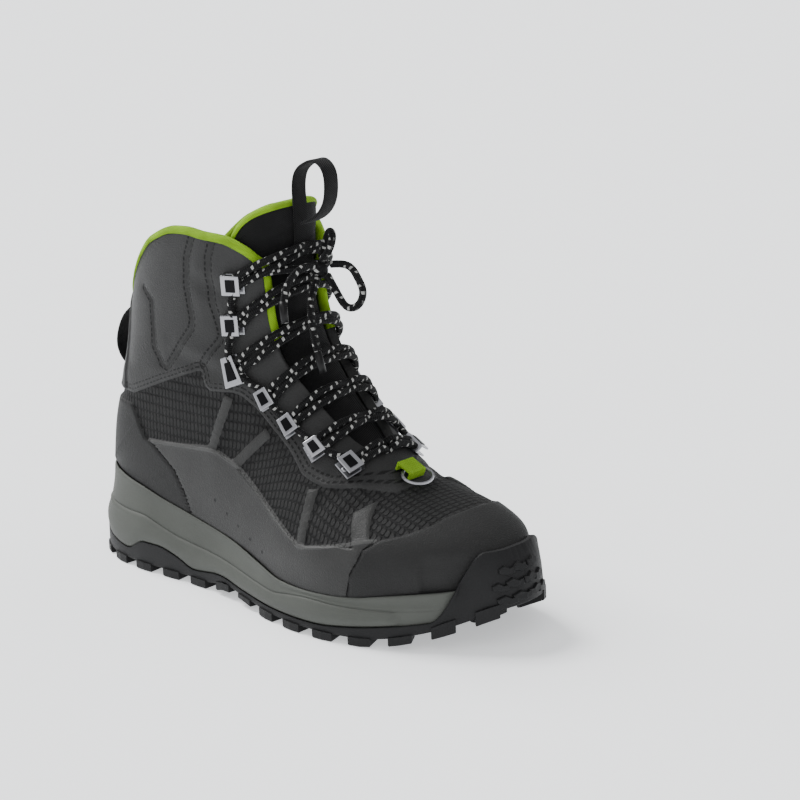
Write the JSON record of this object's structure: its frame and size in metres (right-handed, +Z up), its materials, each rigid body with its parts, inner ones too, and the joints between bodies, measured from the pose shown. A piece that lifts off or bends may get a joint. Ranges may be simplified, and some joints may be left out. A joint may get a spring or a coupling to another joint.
{
  "type": "wading boot",
  "caption": "Right lace-up ankle boot for wading, with a grey upper, a stepped midsole, a black lugged outsole and a rubber toe wrap.",
  "frame": {"origin": "on the floor under the centre of the heel's middle tread lug", "axes": "+X to the toe, +Z up, -Y to the outer side of the foot"},
  "size_m": [0.3183, 0.1193, 0.2483],
  "materials": {
    "insole_black": "matt",
    "lace_black": "woven cord",
    "leather_grey": "low sheen",
    "metal_silver": "satin",
    "midsole_grey": "matt moulded foam",
    "rubber_black": "matt",
    "rubber_matte": "matt",
    "tongue_black": "matt",
    "trim_green": "matt",
    "webbing_black": "woven"
  },
  "bodies": {
    "root": {"collar_binding": "trim_green", "heel_counter": "rubber_matte", "heel_loop": "webbing_black", "heel_tab": "webbing_black", "hook_ankle_inner": "metal_silver", "hook_ankle_outer": "metal_silver", "hook_second_inner": "metal_silver", "hook_second_outer": "metal_silver", "hook_top_inner": "metal_silver", "hook_top_outer": "metal_silver", "insole": "insole_black", "keeper_ring": "metal_silver", "lace_bars": "lace_black", "lace_end_one": "lace_black", "lace_end_two": "lace_black", "lace_keeper": "trim_green", "lace_knot": "lace_black", "lace_loop_front": "lace_black", "lace_loop_top": "lace_black", "loop_base_inner": "metal_silver", "loop_base_outer": "metal_silver", "loop_lower_inner": "metal_silver", "loop_lower_outer": "metal_silver", "loop_middle_inner": "metal_silver", "loop_middle_outer": "metal_silver", "loop_upper_inner": "metal_silver", "loop_upper_outer": "metal_silver", "midsole": "midsole_grey", "outsole": "rubber_black", "pull_loop": "webbing_black", "shaft_panel": "leather_grey", "side_panel_inner": "leather_grey", "side_panel_outer": "leather_grey", "toe_cap": "rubber_matte", "tongue": "tongue_black", "tongue_binding": "trim_green", "upper": "leather_grey"}
  },
  "joints": []
}
